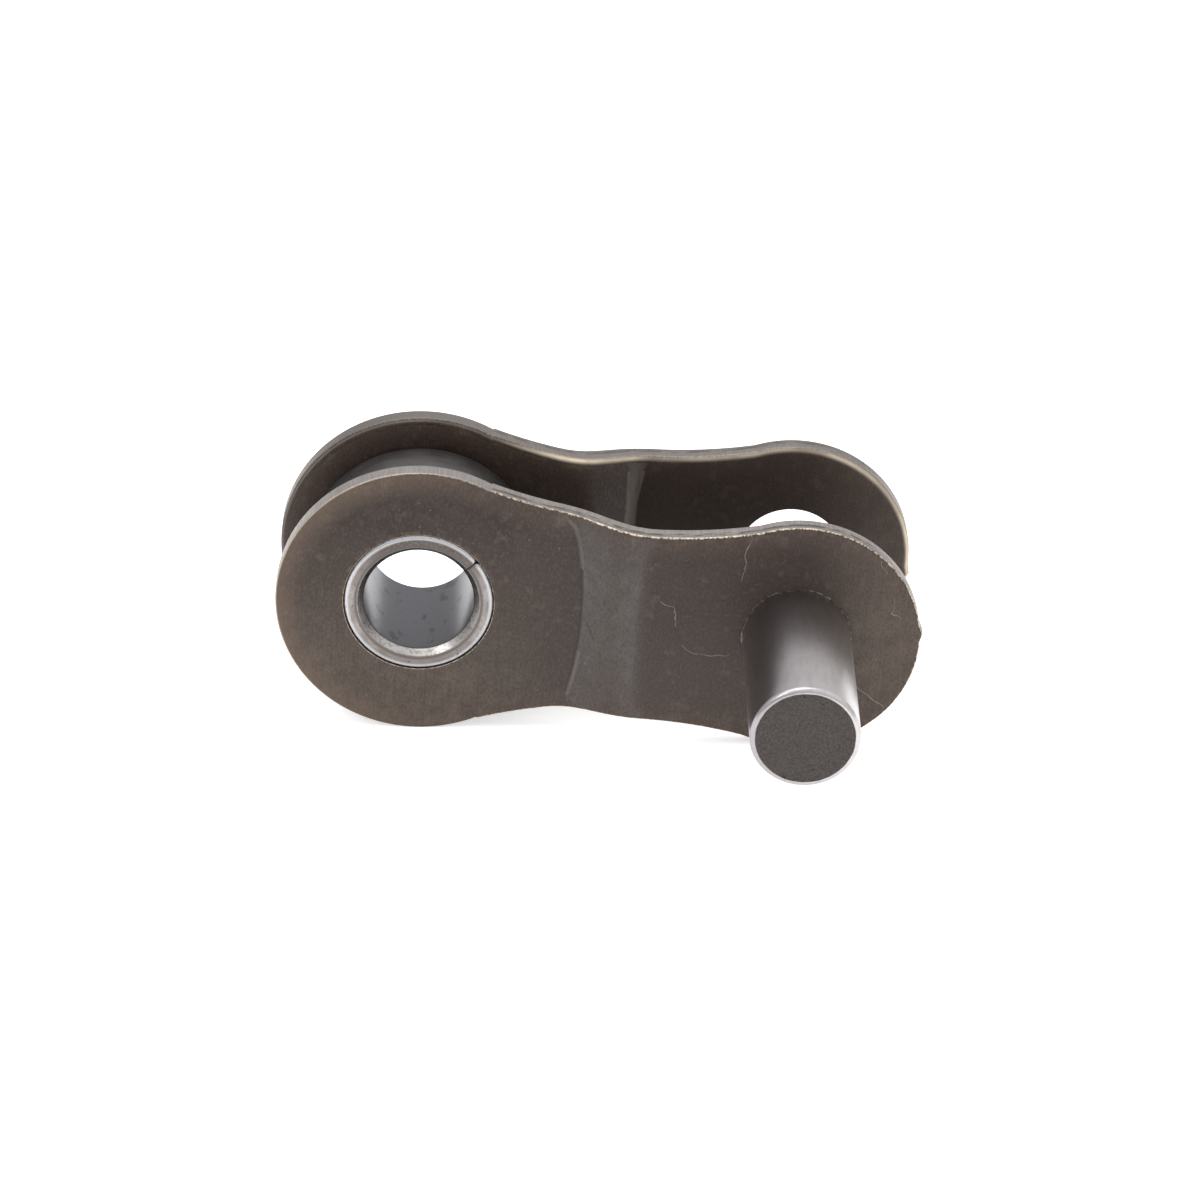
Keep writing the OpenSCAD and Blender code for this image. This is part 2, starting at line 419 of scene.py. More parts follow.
def rays(end):
    """Angles towards the web, and angles round the rest of the end."""
    half = half_height(end.border_x, corner_r["outer"])
    to_web = [atan2(share * half, end.to_border) for share in web_shares()]
    turn = 2 * pi - 2 * to_web[-1]
    steps = ceil(turn / ray_step)
    round_rays = [to_web[-1] + turn * i / steps for i in range(1, steps)]
    if end.stub:
        near = {pi - tab_turn: stub_rays}
    else:
        shoulder = atan2(half_height(waist_start, 0), waist_start)
        near = {shoulder: shoulder_rays, 2 * pi - shoulder: shoulder_rays}
    for middle_ray, close_rays in near.items():
        round_rays = [a for a in round_rays if abs(a - middle_ray) > 1.2 * close_rays[-1]]
        round_rays = sorted(round_rays + [middle_ray + a for a in close_rays])
    return to_web, round_rays


def edge_gap(x, z):
    """Distance from a place on the blank to its edge."""
    found = [bushing_end_r - hypot(x, z), pin_end_r - hypot(x - pitch, z)]
    if waist_start < x < waist_end:
        found.append(hypot(x - waist_x, waist_z - abs(z)) - waist_r)
    return max(found)


print(f"{len(web_shares())} rows along the web")

# %% [markdown]
# With the rows settled, a face is a matter of walking them. It is three grids: rays round the
# bushing hole, stations along the web, rays round the pin hole. Towards the edge its points sink a
# little, where the die rolled the sheet over.

# %% Faces of a plate
pin_play = 0.006
hole_corner_r = 0.025
roll_width = 0.5
margin_width = 0.9
roll_depth = {"outer": 0.04, "inner": 0.05}
ridge_rub_and_sheen = 0.55
rub_and_sheen_fade = 0.6

bushing_end = RoundEnd(0, bushing_end_r, bushing_r, narrow_out, web_from, waist_start, 0)
pin_end = RoundEnd(pitch, pin_end_r, pin_r + pin_play, wide_out, web_to, waist_end, tab_stub)


def face_depth(gap, face):
    """Depth in the sheet of a point on a face, as a share of the thickness."""
    gap = max(gap, corner_r[face])
    rolled = roll_depth[face] * max(0, 1 - gap / roll_width) ** 2 / plate_t
    return rolled if face == "outer" else 1 - rolled


def margin(gap):
    """1 at the edge of a face, fading to 0 inwards."""
    return max(0, 1 - max(gap, 0) / margin_width)


def web_point(station, share, inset, depth):
    """Place on the web, where a row's share of the height and a bowed station settle each other."""
    z = 0
    for again in range(8):
        x, y = station_point(station, z, depth)
        z = share * half_height(x, inset)
    return x, y, z


def round_place(end, angle, inset):
    """x and z on the edge of a round end."""
    outer = corner_r["outer"]
    return end.place(angle, end.reach(angle, outer)[0]) + (outer - inset) * end.outward(angle, outer)


def rub_and_sheen_mark(station, z, face):
    """Mark of the tool that pressed the crank, on the slope outside and the valley inside: it lowers the
    roughness there, and a sheen is painted over it.
    """
    stretch, share = station
    outer = {
        "first bend": share,
        "slope": 1 - (1 - ridge_rub_and_sheen) * share,
        "second bend": ridge_rub_and_sheen + (1 - ridge_rub_and_sheen) * share,
        "after": (1 - share) ** 3,
    }
    inner = {"second bend": sin(pi * share) ** 0.5}
    fade = 1 - rub_and_sheen_fade * min(1, abs(z) / waist_half) ** 4
    return (outer if face == "outer" else inner).get(stretch, 0) * fade


def face_grids(skin, face):
    """The three grids of one face."""
    inset = corner_r[face]
    outside = 1 if face == "outer" else 0
    for end in (bushing_end, pin_end):
        to_web, round_rays = rays(end)
        half = half_height(end.border_x, inset)
        border = [Vector((end.border_x, end.side * share * half)) for share in web_shares()]
        starts = list(zip(to_web, border))
        starts += [(angle, round_place(end, angle, inset)) for angle in round_rays]
        rows = []
        for angle, start in starts + starts[:1]:
            stop = end.place(angle, end.hole_r + hole_corner_r)
            total = (stop - start).length
            row = []
            for gap in gaps(total):
                x, z = start.lerp(stop, gap / total)
                depth = face_depth(edge_gap(x, z), face)
                place = (x, end.level - depth * plate_t, z)
                row.append(skin.point(place, margin=margin(edge_gap(x, z)), outside=outside))
            rows.append(row)
        skin.grid(rows)
    columns = []
    for station in stations:
        column = []
        for share in web_shares():
            x, y, z = web_point(station, share, inset, 0 if face == "outer" else 1)
            depth = face_depth(edge_gap(x, z) if abs(share) < 1 else 0, face)
            place = web_point(station, share, inset, depth)
            marks = {"margin": margin(edge_gap(x, z)), "press": rub_and_sheen_mark(station, z, face)}
            column.append(skin.point(place, outside=outside, **marks))
        columns.append(column)
    skin.grid(columns)


print(f"plate ends of {bushing_end_r:.2f} and {pin_end_r:.2f} mm radius")

# %% [markdown]
# The sheared edge is one more grid round the outline, over the outer corner, down the band and
# round the inner corner, and each hole has a grid like it. Its points know how far along the edge
# they lie, so that scores can follow it.

# %% Edges and holes
corner_steps = 7
band_steps = 6


def corner_path(outer_r, inner_r, outer_depth, inner_depth):
    """Steps from the outer face over the edge to the inner face: inset, depth and marks."""
    path = []
    for i in range(corner_steps + 1):
        share = i / corner_steps
        inset = outer_r * (1 - sin(pi / 2 * share))
        depth = outer_depth + outer_r * (1 - cos(pi / 2 * share)) / plate_t
        path.append((inset, depth, {"band": share, "worn": sin(pi * share), "margin": 1 - share}))
    low, high = path[-1][1], inner_depth - inner_r / plate_t
    path += [(0, low + (high - low) * i / band_steps, {"band": 1}) for i in range(1, band_steps)]
    for i in range(corner_steps + 1):
        share = 1 - i / corner_steps
        inset = inner_r * (1 - sin(pi / 2 * share))
        depth = inner_depth - inner_r * (1 - cos(pi / 2 * share)) / plate_t
        path.append((inset, depth, {"band": share ** 3, "roll": sin(pi * share) ** 2.5}))
    return path


def edge_grid(skin):
    """The sheared edge, once round the outline."""
    stops = [(bushing_end, a) for a in rays(bushing_end)[1]] + [(station, -1) for station in stations]
    stops += [(pin_end, a) for a in rays(pin_end)[1]] + [(station, 1) for station in reversed(stations)]
    depths = [face_depth(0, face) for face in ("outer", "inner")]
    path = corner_path(corner_r["outer"], corner_r["inner"], *depths)
    rows, along, last = [], 0, None
    for end, where in stops + stops[:1]:
        row = []
        for inset, depth, marks in path:
            if isinstance(end, RoundEnd):
                x, z = round_place(end, where, inset)
                y = end.level - depth * plate_t
            else:
                x, y, z = web_point(end, where, inset, depth)
            row.append(((x, y, z), depth * plate_t, marks))
        here = Vector(row[len(row) // 2][0])
        along += (here - last).length if last else 0
        last = here
        rows.append([skin.point(place, (along, across), **marks) for place, across, marks in row])
    skin.grid(rows)


def hole_grid(skin, end):
    """The wall of a hole with its two small corners."""
    to_web, round_rays = rays(end)
    path = corner_path(hole_corner_r, hole_corner_r, 0, 1)
    rows = []
    for angle in to_web + round_rays + to_web[:1]:
        row = []
        for inset, depth, marks in path:
            x, z = end.place(angle, end.hole_r + inset)
            strip = (angle * end.hole_r, depth * plate_t)
            row.append(skin.point((x, end.level - depth * plate_t, z), strip, **marks))
        rows.append(row)
    skin.grid(rows)


print(2 * (corner_steps + 1) + band_steps - 1, "rows over an edge")

# %% [markdown]
# Both plates are the same pressing, and the front one is turned half round about the pitch line.
# One function makes both.

# %% Plates
def plate(name, turn):
    skin = Skin()
    face_grids(skin, "outer")
    face_grids(skin, "inner")
    edge_grid(skin)
    hole_grid(skin, bushing_end)
    hole_grid(skin, pin_end)
    return skin.finish(name, turn)


rear_plate = plate("rear_plate_steel", Matrix.Identity(4))
front_plate = plate("front_plate_steel", Matrix.Rotation(pi, 4, "X"))

# %% [markdown]
# The bushing is not a turned ring: it is a strip curled into a tube, and the joint shows as a fine
# line with rounded lips. So its section is carried round the axis from one end of the strip to the
# other, and near the two ends it shrinks, mostly from outside, which rounds the lips and leaves the
# small notch between them.

# %% Curled bushing
rim_out_r = 0.16
bevel_run = 0.2
bevel_depth = 0.24
bevel_edge_r = 0.05
rim_steps = 10
seam_gap = 0.012
seam_turn = radians(41)
lip_r = 0.16
lip_on_face = 0.25
curl_steps = 200
lip_steps = 8


def rounded_loop(corner_list):
    """Closed loop through corners, each given by its place and the radius that rounds it."""
    loop = []
    for i, (place, edge_r) in enumerate(corner_list):
        here = Vector(place)
        back = (Vector(corner_list[i - 1][0]) - here).normalized()
        ahead = (Vector(corner_list[(i + 1) % len(corner_list)][0]) - here).normalized()
        half_angle = back.angle(ahead) / 2
        centre = here + (back + ahead).normalized() * edge_r / sin(half_angle)
        first, last = (here + side * edge_r / tan(half_angle) - centre for side in (back, ahead))
        for step in range(rim_steps + 1):
            loop.append(centre + first.lerp(last, step / rim_steps).normalized() * edge_r)
    return loop


def curl_section(drawn):
    """Radius and length round the strip's section: a bevel to the bore, a round corner outside."""
    half, outer_r = bushing_high.y - lip_on_face * drawn, bushing_r - drawn
    loop = []
    for end in (-1, 1):
        bore_edge = ((bore_r, end * (half - bevel_depth)), bevel_edge_r)
        crest = ((bore_r + bevel_run, end * half), bevel_edge_r)
        corner = ((outer_r, end * half), rim_out_r)
        loop += [bore_edge, crest, corner] if end < 0 else [corner, crest, bore_edge]
    return rounded_loop(loop)


def lip(distance):
    """How far the section has drawn in at that distance from the end of the strip."""
    if distance >= lip_r:
        return 0
    return lip_r - sqrt(lip_r ** 2 - (lip_r - distance) ** 2)


def curled_bushing(name):
    skin = Skin()
    length = 2 * pi * bushing_r - seam_gap
    near_lip = [lip_r * (1 - cos(pi / 2 * i / lip_steps)) for i in range(lip_steps)]
    between = [lip_r + (length - 2 * lip_r) * i / curl_steps for i in range(curl_steps + 1)]
    rows = []
    for run in near_lip + between + [length - run for run in reversed(near_lip)]:
        angle = seam_turn + (run + seam_gap / 2) / bushing_r
        drawn = lip(min(run, length - run))
        section = curl_section(drawn)
        row = [skin.point((r * cos(angle), y, r * sin(angle))) for r, y in section]
        rows.append(row + row[:1])
    skin.grid(rows)
    skin.face(rows[0][:-1])
    skin.face(rows[-1][:-1])
    return skin.finish(name)


bushing = curled_bushing("bushing_curl")

# %% [markdown]
# The roller and the pin are turned pieces, so their meshes come from a section that goes once round
# an axis. Many narrow faces round the turn cost little and keep the long reflections on polished
# steel free of kinks.

# %% Roller and pin
turn_steps = 192
roller_edge_r = 0.2
roller_play = 0.06
pin_edge_r = 0.18
pin_edge_steps = 10
pin_rows = 12
face_rings = 5


def turned_piece(name, axis_x, section, closed):
    """A section of radius and length, turned round the axis at axis_x. An open one ends on it."""
    skin = Skin()
    rows = []
    for i in range(turn_steps + 1):
        a = 2 * pi * i / turn_steps
        row = [skin.point((axis_x + r * cos(a), y, r * sin(a))) for r, y in section]
        rows.append(row + row[:1] if closed else row)
    skin.grid(rows)
    return skin.finish(name)


def pin_section():
    """From the middle of the free end, over its corner and along the side to the other end."""
    flat_r = pin_r - pin_edge_r
    free_end = [(flat_r * i / face_rings, pin_low.y) for i in range(face_rings)]
    for i in range(pin_edge_steps + 1):
        a = pi / 2 * i / pin_edge_steps
        free_end.append((flat_r + pin_edge_r * sin(a), pin_low.y + pin_edge_r * (1 - cos(a))))
    start, stop = pin_low.y + pin_edge_r, pin_high.y - pin_edge_r
    side = [(pin_r, start + (stop - start) * i / pin_rows) for i in range(1, pin_rows)]
    return free_end + side + [(r, pin_low.y + pin_high.y - y) for r, y in reversed(free_end)]


roller_bore_r = bushing_r + roller_play
roller_half = roller_high.y
roller_corners = [
    (roller_bore_r, -roller_half), (roller_r, -roller_half),
    (roller_r, roller_half), (roller_bore_r, roller_half),
]
roller_section = rounded_loop([(place, roller_edge_r) for place in roller_corners])
roller = turned_piece("roller_ring", 0, roller_section, True)
pin = turned_piece("pin_rod", pitch, pin_section(), False)

# %% [markdown]
# A node material is a chain of small steps, and most steps are alike: a noise, a ramp that keeps
# part of it, a mix of two colours. This helper adds one step at a time and hands back its output,
# so that a finish can be written down in the order in which a maker would describe it. Places are
# in millimetres.

# %% Finish tool
class Finish:
    """A node material on one Principled shader."""

    def __init__(self, name):
        self.material = bpy.data.materials.new(name)
        self.material.use_nodes = True
        self.tree = self.material.node_tree
        self.shader = self.tree.nodes["Principled BSDF"]
        metres = self.node("TexCoord").outputs["Object"]
        self.place = self.scale(metres, 1 / MM)

    def fill(self, node, inputs):
        for name, value in inputs.items():
            if isinstance(value, bpy.types.NodeSocket):
                self.tree.links.new(value, node.inputs[name])
            else:
                node.inputs[name].default_value = value

    def node(self, kind, inputs={}, **settings):
        made = self.tree.nodes.new("ShaderNode" + kind)
        for name, value in settings.items():
            setattr(made, name, value)
        self.fill(made, inputs)
        return made

    def noise(self, scale, detail=3, stretch=(1, 1, 1), place=None):
        """Cloudy values about 0.5, with a grain of 1 / scale millimetres."""
        mapping = {"Vector": place or self.place, "Scale": stretch}
        stretched = self.node("Mapping", mapping).outputs[0]
        inputs = {"Vector": stretched, "Scale": scale, "Detail": detail}
        return self.node("TexNoise", inputs).outputs["Fac"]

    def ramp(self, value, low, high, first=0.0, last=1.0):
        """Follows a value from low to high, softly, and gives first to last."""
        inputs = {"Value": value, "From Min": low, "From Max": high, "To Min": first, "To Max": last}
        return self.node("MapRange", inputs, interpolation_type="SMOOTHSTEP").outputs[0]

    def mix(self, share, first, second):
        """One colour, and the other where share is 1. Sockets 6 and 7 hold the colours."""
        inputs = {0: share, 6: first, 7: second}
        return self.node("Mix", inputs, data_type="RGBA").outputs[2]

    def sum(self, operation, first, second):
        return self.node("Math", {0: first, 1: second}, operation=operation).outputs[0]

    def times(self, first, second):
        return self.sum("MULTIPLY", first, second)

    def larger(self, first, second):
        return self.sum("MAXIMUM", first, second)

    def off(self, value, middle):
        """How far a value lies from a middle."""
        return self.sum("ABSOLUTE", self.sum("SUBTRACT", value, middle), 0.0)

    def vector(self, operation, first, second=(0, 0, 0), output=0):
        inputs = {0: first, 1: second}
        return self.node("VectorMath", inputs, operation=operation).outputs[output]

    def scale(self, place, factor):
        inputs = {0: place, "Scale": factor}
        return self.node("VectorMath", inputs, operation="SCALE").outputs[0]

    def length(self, place):
        return self.vector("LENGTH", place, output="Value")

    def axes(self):
        return self.node("SeparateXYZ", {0: self.place}).outputs

    def mark(self, name):
        """A mark that the mesh carries at its points."""
        return self.node("Attribute", attribute_name=name).outputs["Fac"]

    def bump(self, height, depth):
        """Turns a height from 0 to 1 into a relief of that depth in millimetres."""
        return self.node("Bump", {"Height": height, "Distance": depth * MM}).outputs[0]

    def done(self, **sockets):
        self.fill(self.shader, {name.replace("_", " "): value for name, value in sockets.items()})
        print(f"finish {self.material.name}: {len(self.tree.nodes)} nodes")
        return self.material


def steel(red, green, blue):
    """An opaque colour."""
    return (red, green, blue, 1.0)

# %% [markdown]
# Handling leaves hair-fine scratches, and fine lines along the creases carry painted shade and
# painted highlights. Each is a line through a few places on the plate, and a material can draw it by
# measuring how far a point lies from the nearest stretch of the line.

# %% Hairlines
def hairline(finish, flat, places, half_width):
    """1 on a fine line through places given as x and z, and 0 beside it."""
    line = 0.0
    for (x0, z0), (x1, z1) in zip(places, places[1:]):
        run = Vector((x1 - x0, 0, z1 - z0))
        off = finish.vector("SUBTRACT", flat, (x0, 0, z0))
        share = finish.vector("DOT_PRODUCT", off, run / run.length_squared, "Value")
        share = finish.node("Clamp", {"Value": share}).outputs[0]
        along = finish.scale(run, share)
        gap = finish.length(finish.vector("SUBTRACT", off, along))
        line = finish.larger(line, finish.ramp(gap, 0.2 * half_width, half_width, 1, 0))
    return line


def crease(station, depth, shift, low, high):
    """Places along a crease between two heights."""
    steps = 5
    heights = [low + (high - low) * i / steps for i in range(steps + 1)]
    return [(station_point(station, z, depth).x + shift, z) for z in heights]


bright_hairs = [
    [(10.94, 3.71), (10.74, 2.98), (10.62, 2.08)],
    [(8.02, 1.15), (8.4, 0.9), (8.64, 0.13)],
    [(9.0, -0.6), (9.3, -0.8), (10.46, -0.85)],
    [(14.82, -1.71), (15.29, -2.0), (15.8, -2.45)],
    [(15.16, 3.13), (15.2, 2.8), (15.47, 2.63)],
    [(15.79, 1.79), (15.83, 1.07), (16.18, 0.94)],
]
crease_highlight_hooks = [
    [(4.86, 3.4), (5.06, 3.2), (5.2, 2.8), (5.32, 2.2), (5.4, 1.7)],
    [(5.47, -1.5), (5.43, -2.0), (5.34, -2.5), (5.2, -3.1)],
]
dark_hairs = [
    [(4.52, 0.06), (5.3, 0.02)],
    [(5.55, -0.27), (5.88, -0.71), (6.01, -0.62)],
    [(8.64, 0.13), (9.18, -0.86)],
    [(15.7, 0.04), (15.98, 0.07)],
]
print(len(bright_hairs), "bright hairlines and", len(dark_hairs), "dark ones")

# %% [markdown]
# Chain plate is hardened and tempered, and the oven leaves a thin brown-grey oxide that tumbling
# rubs to a satin. Layers can be tuned one by one, so it goes from the widest change to the finest:
# the whole plate, darker towards its top in painted shade, warm margins, clouds, brush lines, a
# painted sheen on the crank, grains and bright specks.

# %% Tempered oxide
def tempered_oxide(skin, mottle, grain):
    """Colour of the oxide, in layers."""
    x, y, z = skin.axes()
    cloud = skin.noise(0.4, 4)
    brush = skin.noise(10, 3, (1, 1, 0.06))
    # Painted shade: the oxide darkens towards the top of the plate.
    oxide = skin.mix(skin.ramp(z, -5, 4.2), steel(0.092, 0.072, 0.057), steel(0.018, 0.009, 0.006))
    warm = skin.times(skin.mark("margin"), skin.ramp(mottle, 0.3, 0.7, 0.9, 0.4))
    # Painted sheen: the crank's slope, and the valley inside, are lighter.
    painted_crank_sheen = skin.times(skin.mark("press"), skin.ramp(mottle, 0.25, 0.65, 0.95, 0.6))
    specks = skin.ramp(skin.noise(8, 1), 0.78, 0.81, 0, 0.3)
    coats = [
        (skin.ramp(x, 1.5, 5, 0, 0.6), steel(0.03, 0.021, 0.018)),
        (skin.ramp(x, 12.5, 16, 0, 0.7), steel(0.12, 0.092, 0.073)),
        (warm, steel(0.092, 0.062, 0.046)),
        (skin.ramp(cloud, 0.35, 0.7, 0, 0.45), steel(0.052, 0.036, 0.029)),
        (skin.ramp(mottle, 0.4, 0.75, 0, 0.6), steel(0.05, 0.035, 0.029)),
        (skin.ramp(mottle, 0.25, 0.45, 0.35, 0), steel(0.105, 0.082, 0.066)),
        (skin.ramp(brush, 0.42, 0.75, 0, 0.3), steel(0.036, 0.025, 0.021)),
        (painted_crank_sheen, steel(0.088, 0.077, 0.074)),
        (skin.ramp(grain, 0.45, 0.75, 0, 0.5), steel(0.03, 0.021, 0.017)),
        (skin.ramp(grain, 0.25, 0.5, 0.2, 0), steel(0.13, 0.106, 0.088)),
        (specks, steel(0.24, 0.21, 0.18)),
    ]
    for share, colour in coats:
        oxide = skin.mix(share, oxide, colour)
    return oxide

# %% [markdown]
# Round the crank, light and shade are painted: painted shade at the foot of the first crease,
# painted highlights where that crease runs out, a painted highlight in the valley inside, and two
# painted highlight lines along the second bend. The lines use the stations that shaped the mesh.
# Two tints go with them: straw at the rim of the narrow end, and painted shade inside the wide
# end, between the plates.

# %% Crank tints and painted light
def crank_tints_and_light(skin, oxide, flat, outside):
    """The oxide with the tints, painted shade and painted highlights on either side of the crank."""
    x = skin.axes()[0]
    straw = skin.times(skin.mark("margin"), skin.ramp(x, -2, 3, 0.5, 0))
    oxide = skin.mix(skin.times(straw, outside), oxide, steel(0.128, 0.09, 0.064))
    # Painted shade: the inner faces are darker at the wide end, between the plates.
    inside_shade = skin.times(skin.ramp(x, 6.6, 7.6), skin.ramp(outside, 0, 1, 0.4, 0))
    oxide = skin.mix(inside_shade, oxide, steel(0.014, 0.008, 0.006))
    # Painted shade: a dark line at the foot of the first crease.
    foot = crease(("first bend", 0.5), 0, -0.02, -3.0, 3.0)
    foot_shade = skin.times(hairline(skin, flat, foot, 0.09), skin.ramp(outside, 0, 1, 0, 0.55))
    oxide = skin.mix(foot_shade, oxide, steel(0.024, 0.017, 0.015))
    # Painted highlights: bright lines where the first crease runs out.
    for places in crease_highlight_hooks:
        line = skin.times(hairline(skin, flat, places, 0.1), skin.ramp(outside, 0, 1, 0, 0.3))
        oxide = skin.mix(line, oxide, steel(0.17, 0.155, 0.145))
    # Painted highlight: a lighter band in the valley inside the second bend.
    valley_highlight = skin.times(skin.mark("press"), skin.ramp(outside, 0, 1, 0.6, 0))
    oxide = skin.mix(valley_highlight, oxide, steel(0.16, 0.135, 0.12))
    # Painted highlights: two bright lines along the second bend, inside.
    for share in (0, 1):
        places = crease(("second bend", share), 1, 0, -2.9, 2.9)
        line = skin.times(hairline(skin, flat, places, 0.09), skin.ramp(outside, 0, 1, 0.4, 0))
        oxide = skin.mix(line, oxide, steel(0.17, 0.15, 0.135))
    return oxide

# %% [markdown]
# Handling has left a few hairlines on the front plate, and a broken bright ring lies round the pin.
# A slow noise sways the hairlines so that none looks ruled, and a mask keeps them on the outside of
# that plate.

# %% Handling marks
hair_half_width = 0.026
hair_sway = 0.7
bright_hair = steel(0.26, 0.23, 0.19)
dark_hair = steel(0.02, 0.015, 0.013)


def handling_marks(skin, oxide, flat, outside, mottle):
    """The oxide with hairlines and the pin's collar."""
    y = skin.axes()[1]
    slow_noise = {"Vector": skin.place, "Scale": 1.1, "Detail": 3}
    ripple = skin.node("TexNoise", slow_noise).outputs["Color"]
    sway = skin.vector("SUBTRACT", ripple, (0.5, 0.5, 0.5))
    sway = skin.vector("MULTIPLY", sway, (hair_sway, 0, hair_sway))
    wavy = skin.vector("ADD", flat, sway)
    front = skin.times(outside, skin.ramp(y, -0.1, 0.1, 1, 0))
    for hairs, colour in ((bright_hairs, bright_hair), (dark_hairs, dark_hair)):
        line = 0.0
        for places in hairs:
            line = skin.larger(line, hairline(skin, wavy, places, hair_half_width))
        line = skin.times(line, skin.times(front, skin.ramp(mottle, 0.35, 0.6, 0.1, 0.6)))
        oxide = skin.mix(line, oxide, colour)

    from_pin = skin.length(skin.vector("SUBTRACT", flat, (pitch, 0, 0)))
    collar = skin.times(front, skin.ramp(from_pin, pin_r + 0.04, pin_r + 0.09, 1, 0))
    collar = skin.times(collar, skin.ramp(mottle, 0.46, 0.66, 0, 0.7))
    return skin.mix(collar, oxide, steel(0.3, 0.28, 0.265))

# %% [markdown]
# A blanked edge has two zones: a scored band that the die sheared, and along the web a rougher
# strip where the sheet tore. This colour reads the strip coordinates of the edge grid: the length
# along the edge and the depth in the sheet.

# %% Sheared band
def sheared_band(skin, grain, web):
    """Colour of the edge, and its scores for the relief."""
    x, y, z = skin.axes()
    strip = skin.node("UVMap", uv_map="strip").outputs[0]
    across = skin.node("SeparateXYZ", {0: strip}).outputs[1]
    score = skin.noise(13, 3, (1, 0.08, 1), strip)
    streak = skin.noise(4, 4, (0.5, 1.5, 1), strip)
    scored, smooth = steel(0.245, 0.225, 0.212), steel(0.32, 0.297, 0.282)
    sheared = skin.mix(skin.ramp(score, 0.25, 0.75), scored, smooth)
    torn = skin.times(skin.ramp(across, 0.16, 0.34, 1, 0), web)
    torn = skin.times(torn, skin.ramp(grain, 0.35, 0.65, 0.2, 0.9))
    sheared = skin.mix(torn, sheared, steel(0.2, 0.175, 0.16))
    tear_line = skin.ramp(skin.off(across, 0.27), 0.03, 0.12, 1, 0)
    dashes = skin.times(tear_line, skin.times(web, skin.ramp(streak, 0.42, 0.56, 0, 0.85)))
    sheared = skin.mix(dashes, sheared, steel(0.085, 0.072, 0.068))
    # Painted shade: the band is darker on the rear plate, most at its narrow end.
    rear_band_shade = skin.times(skin.ramp(y, 0, 0.5), skin.ramp(x, -3, 5, 0.85, 0.5))
    sheared = skin.mix(rear_band_shade, sheared, steel(0.15, 0.13, 0.12))
    return sheared, score

# %% [markdown]
# Tumbling rubs the sharp corners, and they shine in broken grains. The rolled corners carry a
# painted highlight instead, a soft warm strip that is widest at the crank, and the sharp corners at
# the narrow tip carry a smooth painted highlight line. The mesh marks its corners, so the mask has
# only to say where along the plate they shine.

# %% Worn corners and painted highlights
def corner_wear_and_highlight(skin, flat, web):
    """How bright a corner is, from 0 to 1: worn grains, with painted highlights at the tip and on the
    rolled corners.
    """
    x = skin.axes()[0]
    by_hole = skin.ramp(skin.length(flat), 2.8, 3, 0.7, 0)
    rubbing = skin.larger(skin.ramp(web, 0, 1, 0.2, 0.8), by_hole)
    grains = skin.times(skin.mark("worn"), skin.ramp(skin.noise(11, 4), 0.3, 0.66))
    grains = skin.times(skin.ramp(grains, 0.2, 0.8), rubbing)
    # Painted highlight: a smooth bright line on the sharp corners at the narrow tip.
    tip_highlight = skin.times(skin.mark("worn"), skin.ramp(x, -4.8, 0.5, 0.5, 0))
    # Painted highlight: a soft warm strip on the rolled inner corners, strongest at the crank.
    sheen = skin.sum("SUBTRACT", skin.ramp(x, 3.4, 5, 0.55, 1), skin.ramp(x, 6.9, 7.8, 0, 0.6))
    sheen = skin.sum("ADD", sheen, skin.ramp(x, 12, 15, 0, 0.4))
    sheen = skin.times(sheen, skin.ramp(skin.noise(0.6, 3), 0.35, 0.6, 0.6, 1))
    roll = skin.mark("roll")
    hard_edge = skin.sum("SUBTRACT", roll, skin.ramp(x, 1.5, 4.5, 0.7, 0))
    rolled = skin.times(sheen, skin.larger(hard_edge, 0.0))
    return skin.larger(skin.larger(grains, tip_highlight), rolled)

# %% [markdown]
# Now the layers come together in one material. The oxide is a skin over the metal and shines like
# one, so it is hardly metallic, while sheared steel, worn corners and their painted highlights are
# fully so.

# %% Tempered plate
def tempered_plate():
    skin = Finish("tempered_plate")
    mottle = skin.noise(2.2, 5)
    grain = skin.noise(15, 3, (1, 1, 0.6))
    flat = skin.vector("MULTIPLY", skin.place, (1, 0, 1))
    outside = skin.mark("outside")
    web = skin.ramp(skin.axes()[0], waist_start - 0.03, waist_start + 0.03)
    oxide = tempered_oxide(skin, mottle, grain)
    oxide = crank_tints_and_light(skin, oxide, flat, outside)
    oxide = handling_marks(skin, oxide, flat, outside, mottle)
    sheared, score = sheared_band(skin, grain, web)
    ragged = skin.sum("ADD", skin.mark("band"), skin.ramp(grain, 0.2, 0.8, -0.25, 0.25))
    bare = skin.ramp(ragged, 0.35, 0.65)
    wear_and_highlight = corner_wear_and_highlight(skin, flat, web)
    colour = skin.mix(wear_and_highlight, skin.mix(bare, oxide, sheared), steel(0.66, 0.56, 0.43))
    metal = skin.ramp(skin.larger(bare, wear_and_highlight), 0, 1, 0.05, 1)
    matt = skin.ramp(grain, 0.3, 0.7, 0.4, 0.52)
    rough = skin.sum("SUBTRACT", matt, skin.ramp(skin.mark("press"), 0, 1, 0, 0.06))
    relief = skin.bump(skin.sum("ADD", grain, skin.times(score, skin.mark("band"))), 0.005)
    return skin.done(
        Base_Color=colour, Metallic=metal, Roughness=rough, Normal=relief, Specular_IOR_Level=0.3
    )


tempered = tempered_plate()

# %% [markdown]
# The bushing is bright drawn strip. Its rim carries a painted highlight along its outer edge, a
# painted dark ring near its middle, and painted shade at its top and bottom; inside, the bore is a
# smooth blue grey with a few dark smudges and specks of dried oil. The distance from the axis tells
# bore, dark ring and rim apart.

# %% Bright bushing
dark_ring_offset = 0.06


